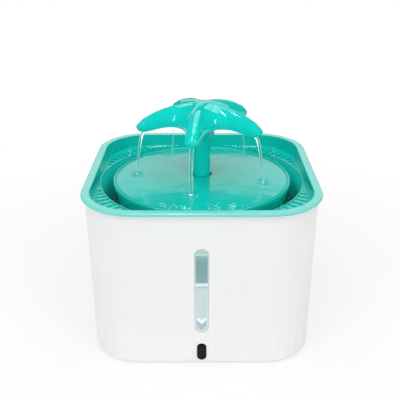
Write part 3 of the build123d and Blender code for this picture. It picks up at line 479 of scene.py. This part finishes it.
# a painted glow stands in for light coming through the thin wall of the well and the comb, least of all
# low in the well
full_glow = paint(30, 205, 190)
half_glow = (full_glow[0] / 2, full_glow[1] / 2, full_glow[2] / 2, 1.0)
painted_well_glow = colour_bands(
    part_way(tray_axes["Z"], well_low_z, well_high_z),
    [(0.0, no_glow), (0.45, half_glow), (0.80, full_glow), (0.89, full_glow), (0.905, no_glow)],
)
tray_links.new(painted_well_glow, tray_surface.inputs["Emission Color"])
tray_surface.inputs["Emission Strength"].default_value = 0.2
dress(turquoise, "tray")


# ---------------------------------------------------------------- dish
# The dish is the same polished turquoise. A film of water runs over its dome and rings spread
# slowly from where the five streams land.

dish_top_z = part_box("dish")[1].z
dish_crown = 0.0031
landing_z = dish_top_z - 0.001
ring_reach = 0.010
ring_strength = 0.6
wave_radians_per_metre = 2400
swells_per_metre = 75
film_depth = 0.0004
shade_radius = 0.0086
shade_blend = 0.0008
shade_strength = 0.85
# where the five streams land, seen from above, in the order in which they are made
landings = [
    (-0.0530, 0.0027),
    (0.0492, -0.0148),
    (-0.0083, -0.0419),
    (-0.0265, 0.0575),
    (0.0377, 0.0495),
]

water_rings = bpy.data.node_groups.new("water_rings", "ShaderNodeTree")
water_rings.interface.new_socket("Position", in_out="INPUT", socket_type="NodeSocketVector")
water_rings.interface.new_socket("Middle", in_out="INPUT", socket_type="NodeSocketVector")
water_rings.interface.new_socket("Height", in_out="OUTPUT", socket_type="NodeSocketFloat")
ring_in = water_rings.nodes.new("NodeGroupInput")
ring_out = water_rings.nodes.new("NodeGroupOutput")
ring_distance = water_rings.nodes.new("ShaderNodeVectorMath")
ring_distance.operation = "DISTANCE"
water_rings.links.new(ring_in.outputs["Position"], ring_distance.inputs[0])
water_rings.links.new(ring_in.outputs["Middle"], ring_distance.inputs[1])
from_landing = ring_distance.outputs["Value"]
ring_wave = worked_out("SINE", worked_out("MULTIPLY", from_landing, wave_radians_per_metre))
ring_fade = part_way(from_landing, 0.0, ring_reach, ring_strength, 0.0)
ring_fade.node.interpolation_type = "SMOOTHERSTEP"
ring_height = worked_out("MULTIPLY", ring_wave, ring_fade)
water_rings.links.new(ring_height, ring_out.inputs["Height"])

wet_turquoise = moulded_plastic(
    "wet_turquoise", paint(14, 203, 190), paint(11, 196, 183), 0.16, grain_depth=1.5e-6
)
wet_nodes, wet_links, wet_surface = parts_of(wet_turquoise)
wet_surface.inputs["Coat IOR"].default_value = 1.33
wet_surface.inputs["Coat Roughness"].default_value = 0.02
wet_surface.inputs["Coat Weight"].default_value = 0.25
wet_place = wet_nodes.new("ShaderNodeTexCoord").outputs["Object"]
swell = noise_pattern(wet_nodes, wet_links, swells_per_metre)
film_height = swell.outputs["Fac"]
for ring_x, ring_y in landings:
    rings = wet_nodes.new("ShaderNodeGroup")
    rings.node_tree = water_rings
    rings.inputs["Middle"].default_value = (ring_x, ring_y, landing_z)
    wet_links.new(wet_place, rings.inputs["Position"])
    film_height = worked_out("ADD", film_height, rings.outputs["Height"])
film = raise_relief(film_height, film_depth, wet_surface)
wet_links.new(wet_nodes["relief"].outputs["Normal"], film.inputs["Normal"])
# painted shade darkens the dish at the joint round the stem
from_above = wet_nodes.new("ShaderNodeVectorMath")
from_above.operation = "MULTIPLY"
from_above.inputs[1].default_value = (1, 1, 0)
stem_distance = wet_nodes.new("ShaderNodeVectorMath")
stem_distance.operation = "LENGTH"
wet_links.new(wet_place, from_above.inputs[0])
wet_links.new(from_above.outputs["Vector"], stem_distance.inputs[0])
from_stem = stem_distance.outputs["Value"]
stem_ring = part_way(from_stem, shade_radius, shade_radius + shade_blend, shade_strength, 0.0)
stem_shade = colour_over(stem_ring, wet_nodes["tint"].outputs[2], paint(8, 140, 128))
wet_links.new(stem_shade, wet_surface.inputs["Base Color"])
dress(wet_turquoise, "dish")


# ---------------------------------------------------------------- stem and starfish spout
# Stem, plate and spout are moulded in a lighter, brighter turquoise with a mirror polish. The
# spout's shell is glued over its plate, and the whole turns on the stem.

bright_turquoise = moulded_plastic(
    "bright_turquoise", paint(18, 212, 200), paint(14, 206, 194), 0.05, grain_depth=1e-6
)
surface_of(bright_turquoise).inputs["Specular IOR Level"].default_value = 0.35
dress(bright_turquoise, "stem", "starfish_shell", "starfish_plate")


# ---------------------------------------------------------------- falling water
# Five clear streams leave the nozzles under the arm tips, thin as they fall, and land on the
# dish. Small drops and white streaks lie on the front of the dish and the back of the ledge: the
# streaks are froth, painted bright to stand in also for the glints of the rippled water.


def clear_water(name, colour, roughness, ripples, ripple_depth):
    """Clear water with a rippled skin. Returns the material."""
    finish, nodes, links, surface = new_finish(name)
    surface.inputs["Base Color"].default_value = colour
    surface.inputs["Roughness"].default_value = roughness
    surface.inputs["Transmission Weight"].default_value = 1.0
    surface.inputs["IOR"].default_value = 1.33
    raise_relief(noise_pattern(nodes, links, ripples).outputs["Fac"], ripple_depth, surface)
    return finish


water = clear_water("water", (0.94, 1.0, 0.99, 1.0), roughness=0.0, ripples=300, ripple_depth=0.0001)
water_nodes, water_links, water_surface = parts_of(water)
# the rounded edges of a stream gather the light of the room: a painted glow on them stands in for it
water_edge = water_nodes.new("ShaderNodeLayerWeight")
water_edge.inputs["Blend"].default_value = 0.5
painted_edge_glow = colour_bands(water_edge.outputs["Facing"], [(0.45, no_glow), (0.85, (0.8, 0.9, 0.9, 1))])
water_links.new(painted_edge_glow, water_surface.inputs["Emission Color"])
water_surface.inputs["Emission Strength"].default_value = 0.8


def water_stream(name, nozzle, landing, nozzle_radius, landing_radius, steps=10):
    """A falling stream: a disc at the nozzle, drawn out downwards step by step."""
    bpy.ops.object.select_all(action="DESELECT")
    bpy.ops.mesh.primitive_circle_add(vertices=16, radius=nozzle_radius, fill_type="NGON", location=nozzle)
    stream = bpy.context.object
    stream.name = name
    bpy.ops.object.transform_apply(location=True, rotation=True, scale=True)
    bpy.ops.object.mode_set(mode="EDIT")
    bpy.ops.mesh.select_all(action="SELECT")
    here = Vector(nozzle)
    radius = nozzle_radius
    for step in range(1, steps + 1):
        fall = step / steps
        there = Vector(nozzle).lerp(Vector(landing), fall)
        ahead = math.sqrt(fall)
        there.x = nozzle[0] + (landing[0] - nozzle[0]) * ahead
        there.y = nozzle[1] + (landing[1] - nozzle[1]) * ahead
        next_radius = nozzle_radius + (landing_radius - nozzle_radius) * ahead
        bpy.ops.mesh.extrude_region_move(TRANSFORM_OT_translate={"value": tuple(there - here)})
        shrink = next_radius / radius
        bpy.ops.transform.resize(value=(shrink, shrink, 1), center_override=tuple(there))
        here = there
        radius = next_radius
    bpy.ops.mesh.select_all(action="SELECT")
    bpy.ops.mesh.normals_make_consistent(inside=False)
    bpy.ops.object.mode_set(mode="OBJECT")
    bpy.ops.object.shade_smooth_by_angle(angle=math.radians(50))
    stream.data.materials.append(water)
    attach(stream, "starfish")


nozzle_circle = 0.0448
nozzle_z = 0.1643
landing_gap = 0.0002
dish_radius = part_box("dish")[1].x


def dome_z(x, y):
    """The height of the dish's dome at a place."""
    return dish_top_z - dish_crown * (math.hypot(x, y) / dish_radius) ** 2


# each stream's name, its arm's angle, and its radius at the nozzle and at the landing
streams = [
    ("stream_left", 189, 0.0016, 0.0006),
    ("stream_right", -27, 0.0016, 0.0006),
    ("stream_front", -99, 0.0016, 0.00115),
    ("stream_rear_left", 117, 0.0010, 0.0004),
    ("stream_rear_right", 45, 0.0009, 0.0004),
]
for (stream_name, arm_angle, nozzle_radius, landing_radius), (land_x, land_y) in zip(streams, landings):
    arm_turn = math.radians(arm_angle)
    water_stream(
        stream_name,
        (nozzle_circle * math.cos(arm_turn), nozzle_circle * math.sin(arm_turn), nozzle_z),
        (land_x, land_y, dome_z(land_x, land_y) + landing_gap),
        nozzle_radius,
        landing_radius,
    )


drop_flatness = 0.6


def scatter_drops(name, body, finish, spots):
    """Flat drops lying on a surface, as one piece, from a list of (x, y, z, length, width, turn)."""
    drops = []
    for x, y, z, length, width, turn in spots:
        bpy.ops.object.select_all(action="DESELECT")
        bpy.ops.mesh.primitive_ico_sphere_add(subdivisions=2, radius=0.5, location=(x, y, z))
        drop = bpy.context.object
        drop.scale = (length, width, width * drop_flatness)
        drop.rotation_euler.z = math.radians(turn)
        drops.append(drop)
    for drop in drops:
        drop.select_set(True)
    bpy.context.view_layer.objects.active = drops[0]
    bpy.ops.object.join()
    splash = bpy.context.object
    splash.name = name
    bpy.ops.object.transform_apply(location=True, rotation=True, scale=True)
    bpy.ops.object.shade_smooth()
    splash.data.materials.append(finish)
    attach(splash, body)


# froth streaks painted near-white, standing in also for the glints of the rippled water
froth_and_glints = moulded_plastic("froth_and_glints", paint(226, 250, 247), paint(190, 236, 231), 0.12, clouds=900)
chance = random.Random(5)

# drops on the front of the dish
front_span_x = (-0.030, 0.026)
front_span_y = (0.056, 0.0655)
front_sizes = (0.0006, 0.0015)
front_drops = []
for _ in range(30):
    drop_x = chance.uniform(*front_span_x)
    drop_size = chance.uniform(*front_sizes)
    drop_y = -chance.uniform(*front_span_y)
    front_drops.append((drop_x, drop_y, dome_z(drop_x, drop_y), drop_size, drop_size, 0))
scatter_drops("front_drops", "dish", water, front_drops)

# white streaks along the dish's front edge, to the left and to the right of the front stream:
# froth, with painted glints of the rippled water
streak_radii = (0.0600, 0.0660)
streak_lengths = (0.0008, 0.0024)
streak_widths = (0.0004, 0.0008)
front_froth_and_glints = []
for low_x, high_x, streaks in ((-0.031, -0.008, 16), (0.005, 0.031, 18)):
    for _ in range(streaks):
        streak_x = chance.uniform(low_x, high_x)
        streak_y = -math.sqrt(chance.uniform(*streak_radii) ** 2 - streak_x**2)
        along = math.degrees(math.atan2(streak_y, streak_x)) + 90 + chance.uniform(-25, 25)
        streak_length = chance.uniform(*streak_lengths)
        streak_width = chance.uniform(*streak_widths)
        streak_z = dome_z(streak_x, streak_y)
        front_froth_and_glints.append((streak_x, streak_y, streak_z, streak_length, streak_width, along))
scatter_drops("front_froth_and_glints", "dish", froth_and_glints, front_froth_and_glints)

# drops and white streaks along the back of the ledge, clear of the well's edge: froth, with
# painted glints of the rippled water
ledge_z = 0.1205
ledge_near = 0.0834
ledge_far = 0.0935
rear_span_x = (0.006, 0.054)
rear_span_y = (0.0775, 0.0817)
rear_sizes = (0.0006, 0.0014)
rear_streak_lengths = (0.0008, 0.0020)
rear_streak_width = 0.0007
rear_drops = []
rear_froth_and_glints = []
for _ in range(90):
    drop_x = chance.choice((-1, 1)) * chance.uniform(*rear_span_x)
    drop_y = chance.uniform(*rear_span_y)
    if ledge_near < math.hypot(drop_x, drop_y) < ledge_far:
        drop_size = chance.uniform(*rear_sizes)
        rear_drops.append((drop_x, drop_y, ledge_z, drop_size, drop_size, 0))
        streak_x = drop_x + chance.uniform(-0.002, 0.002)
        streak_length = chance.uniform(*rear_streak_lengths)
        along = chance.uniform(-40, 40)
        rear_froth_and_glints.append((streak_x, drop_y, ledge_z, streak_length, rear_streak_width, along))
scatter_drops("rear_drops", "tray", water, rear_drops)
scatter_drops("rear_froth_and_glints", "tray", froth_and_glints, rear_froth_and_glints)


# ---------------------------------------------------------------- standing water
# A shallow ring of water stands on the filter's rim, between the dish's skirt and the tray's well.
# It is tinted dark turquoise, painted shade of the narrow channel and the colour of its walls,
# and creeps up a little where it meets them.

pool_top_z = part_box("filter_frame")[1].z + 0.0014
pool_depth = 0.0012
pool_creep = 0.0004
pool_inner = 0.0676
pool_outer = 0.0739
inner_creep_width = 0.0008
outer_creep_width = 0.0007

shaded_pool_water = clear_water(
    "shaded_pool_water", (0.05, 0.42, 0.36, 1.0), roughness=0.02, ripples=160, ripple_depth=0.00004
)

bpy.ops.object.select_all(action="DESELECT")
bpy.ops.mesh.primitive_circle_add(
    vertices=128, radius=pool_inner, fill_type="NOTHING", location=(0, 0, pool_top_z + pool_creep)
)
pool = bpy.context.object
pool.name = "standing_water"
bpy.ops.object.transform_apply(location=True, rotation=True, scale=True)
bpy.ops.object.mode_set(mode="EDIT")
bpy.ops.mesh.select_all(action="SELECT")
pool_radius = pool_inner
for next_radius, rise in (
    (pool_inner + inner_creep_width, -pool_creep),
    (pool_outer - outer_creep_width, 0),
    (pool_outer, pool_creep),
):
    bpy.ops.mesh.extrude_region_move(TRANSFORM_OT_translate={"value": (0, 0, rise)})
    widen = next_radius / pool_radius
    bpy.ops.transform.resize(value=(widen, widen, 1), center_override=(0, 0, 0))
    pool_radius = next_radius
bpy.ops.mesh.select_all(action="SELECT")
bpy.ops.mesh.normals_make_consistent(inside=False)
bpy.ops.object.mode_set(mode="OBJECT")
if pool.data.polygons[0].normal.z < 0:
    bpy.ops.object.mode_set(mode="EDIT")
    bpy.ops.mesh.flip_normals()
    bpy.ops.object.mode_set(mode="OBJECT")
pool_body = pool.modifiers.new("body", "SOLIDIFY")
pool_body.thickness = pool_depth
pool_body.offset = -1
bpy.ops.object.modifier_apply(modifier="body")
bpy.ops.object.shade_smooth_by_angle(angle=math.radians(40))
pool.data.materials.append(shaded_pool_water)
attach(pool, "filter")


# ---------------------------------------------------------------- studio
# A plain white floor under three soft lights. Black cards that the camera doesn't see keep the gloss
# deep, and five lamps that show only in the gloss draw its highlights.


def in_sight(nodes):
    """1 where a surface is seen straight, in gloss or through water, and 0 where it only lights."""
    path = nodes.new("ShaderNodeLightPath")
    seen_in_gloss = worked_out("MAXIMUM", path.outputs["Is Camera Ray"], path.outputs["Is Glossy Ray"])
    return worked_out("MAXIMUM", seen_in_gloss, path.outputs["Is Transmission Ray"])


# near the fountain the white floor takes its shadow, and further off it turns into plain white
floor_width = 12
shadow_reach = 0.13
plain_reach = 0.4
shadow_white = 0.66

floor_white, floor_nodes, floor_links, floor_surface = new_finish("floor_white")
floor_surface.inputs["Base Color"].default_value = (0.92, 0.92, 0.92, 1)
floor_surface.inputs["Roughness"].default_value = 0.9
floor_surface.inputs["Specular IOR Level"].default_value = 0.0
floor_place = floor_nodes.new("ShaderNodeTexCoord")
floor_distance = floor_nodes.new("ShaderNodeVectorMath")
floor_distance.operation = "LENGTH"
floor_links.new(floor_place.outputs["Object"], floor_distance.inputs[0])
floor_share = part_way(floor_distance.outputs["Value"], shadow_reach, plain_reach, shadow_white, 1.0)
floor_seen = worked_out("MULTIPLY", in_sight(floor_nodes), floor_share)
floor_glow = floor_nodes.new("ShaderNodeEmission")
floor_blend = floor_nodes.new("ShaderNodeMixShader")
floor_links.new(floor_seen, floor_blend.inputs["Fac"])
floor_links.new(floor_surface.outputs["BSDF"], floor_blend.inputs[1])
floor_links.new(floor_glow.outputs["Emission"], floor_blend.inputs[2])
floor_links.new(floor_blend.outputs["Shader"], floor_nodes["Material Output"].inputs["Surface"])

bpy.ops.object.select_all(action="DESELECT")
bpy.ops.mesh.primitive_plane_add(size=floor_width, location=(0, 0, 0))
floor = bpy.context.object
floor.name = "floor"
floor.data.materials.append(floor_white)

card_black = new_finish("card_black")[0]
surface_of(card_black).inputs["Base Color"].default_value = (0.02, 0.02, 0.02, 1)
surface_of(card_black).inputs["Specular IOR Level"].default_value = 0.0

for card_name, card_width, card_length, card_place, card_tilt, card_turn in (
    ("overhead_card", 6, 5.2, (0, -0.4, 1.3), 0, 0),
    ("left_card", 5, 1.6, (-1.8, -0.5, 0.85), 90, 90),
    ("right_card", 5, 1.6, (1.8, -0.5, 0.85), 90, 90),
    ("front_card", 6, 1.6, (0, -2.6, 0.85), 90, 0),
    ("rear_card", 5, 0.25, (0, 0.6, 0.125), 90, 0),
    ("floor_card", 6, 2.5, (0, -1.37, 0.002), 0, 0),
):
    bpy.ops.object.select_all(action="DESELECT")
    card_angles = (math.radians(card_tilt), 0, math.radians(card_turn))
    bpy.ops.mesh.primitive_plane_add(size=1, location=card_place, rotation=card_angles)
    card = bpy.context.object
    card.name = card_name
    card.scale = (card_width, card_length, 1)
    card.data.materials.append(card_black)
    card.visible_camera = False
    card.visible_diffuse = False
    card.visible_transmission = False
    card.visible_shadow = False

aim_point = Vector((0, 0, 0.1))


def studio_light(name, size_x, size_y, place, power, in_gloss):
    """An area light aimed at the middle of the fountain."""
    lamp = bpy.data.lights.new(name, "AREA")
    lamp.shape = "RECTANGLE"
    lamp.size = size_x
    lamp.size_y = size_y
    lamp.energy = power
    holder = bpy.data.objects.new(name, lamp)
    holder.location = place
    aim = aim_point - Vector(place)
    holder.rotation_euler = aim.to_track_quat("-Z", "Y").to_euler()
    holder.visible_glossy = in_gloss
    bpy.context.scene.collection.objects.link(holder)
    return holder


studio_light("overhead_softbox", 1.6, 1.6, (0, -0.3, 1.6), power=10.5, in_gloss=False)
studio_light("left_softbox", 0.6, 1.3, (-0.85, -0.95, 0.75), power=5.4, in_gloss=False)
studio_light("right_softbox", 0.6, 1.3, (0.85, -0.95, 0.75), power=4.8, in_gloss=False)
for lamp_name, lamp_width, lamp_length, lamp_place, lamp_power in (
    ("ridge_glint", 0.5, 0.4, (0.05, 0.25, 1.2), 2.6),
    ("crown_glint", 0.5, 0.56, (0.05, 0.62, 1.03), 2.3),
    ("overhead_glint", 0.09, 0.5, (-0.05, -0.25, 1.2), 3.6),
    ("left_glint", 0.07, 0.5, (-0.75, -0.35, 0.8), 2.0),
    ("right_glint", 0.07, 0.5, (0.75, -0.35, 0.8), 2.0),
):
    glint_lamp = studio_light(lamp_name, lamp_width, lamp_length, lamp_place, lamp_power, in_gloss=True)
    glint_lamp.visible_diffuse = False

world = bpy.data.worlds.new("studio")
bpy.context.scene.world = world
world.use_nodes = True
world_nodes = world.node_tree.nodes
world_links = world.node_tree.links
ambient = world_nodes["Background"]
ambient.inputs["Color"].default_value = (1, 1, 1, 1)
ambient.inputs["Strength"].default_value = 0.47
surround = world_nodes.new("ShaderNodeBackground")
surround.inputs["Color"].default_value = (1, 1, 1, 1)
surround.inputs["Strength"].default_value = 1.0
in_view = world_nodes.new("ShaderNodeMixShader")
world_links.new(in_sight(world_nodes), in_view.inputs["Fac"])
world_links.new(ambient.outputs["Background"], in_view.inputs[1])
world_links.new(surround.outputs["Background"], in_view.inputs[2])
world_links.new(in_view.outputs["Shader"], world_nodes["World Output"].inputs["Surface"])

bpy.context.scene.view_settings.view_transform = "Standard"
camera_dip = 23.94
lens = bpy.data.cameras.new("camera")
lens.sensor_width = 36
lens.lens = 58.185
lens.shift_x = -0.00425
lens.clip_start = 0.01
camera = bpy.data.objects.new("camera", lens)
camera.location = (0, -0.4916, 0.3194)
camera.rotation_euler = (math.radians(90 - camera_dip), 0, 0)
bpy.context.scene.collection.objects.link(camera)
bpy.context.scene.camera = camera
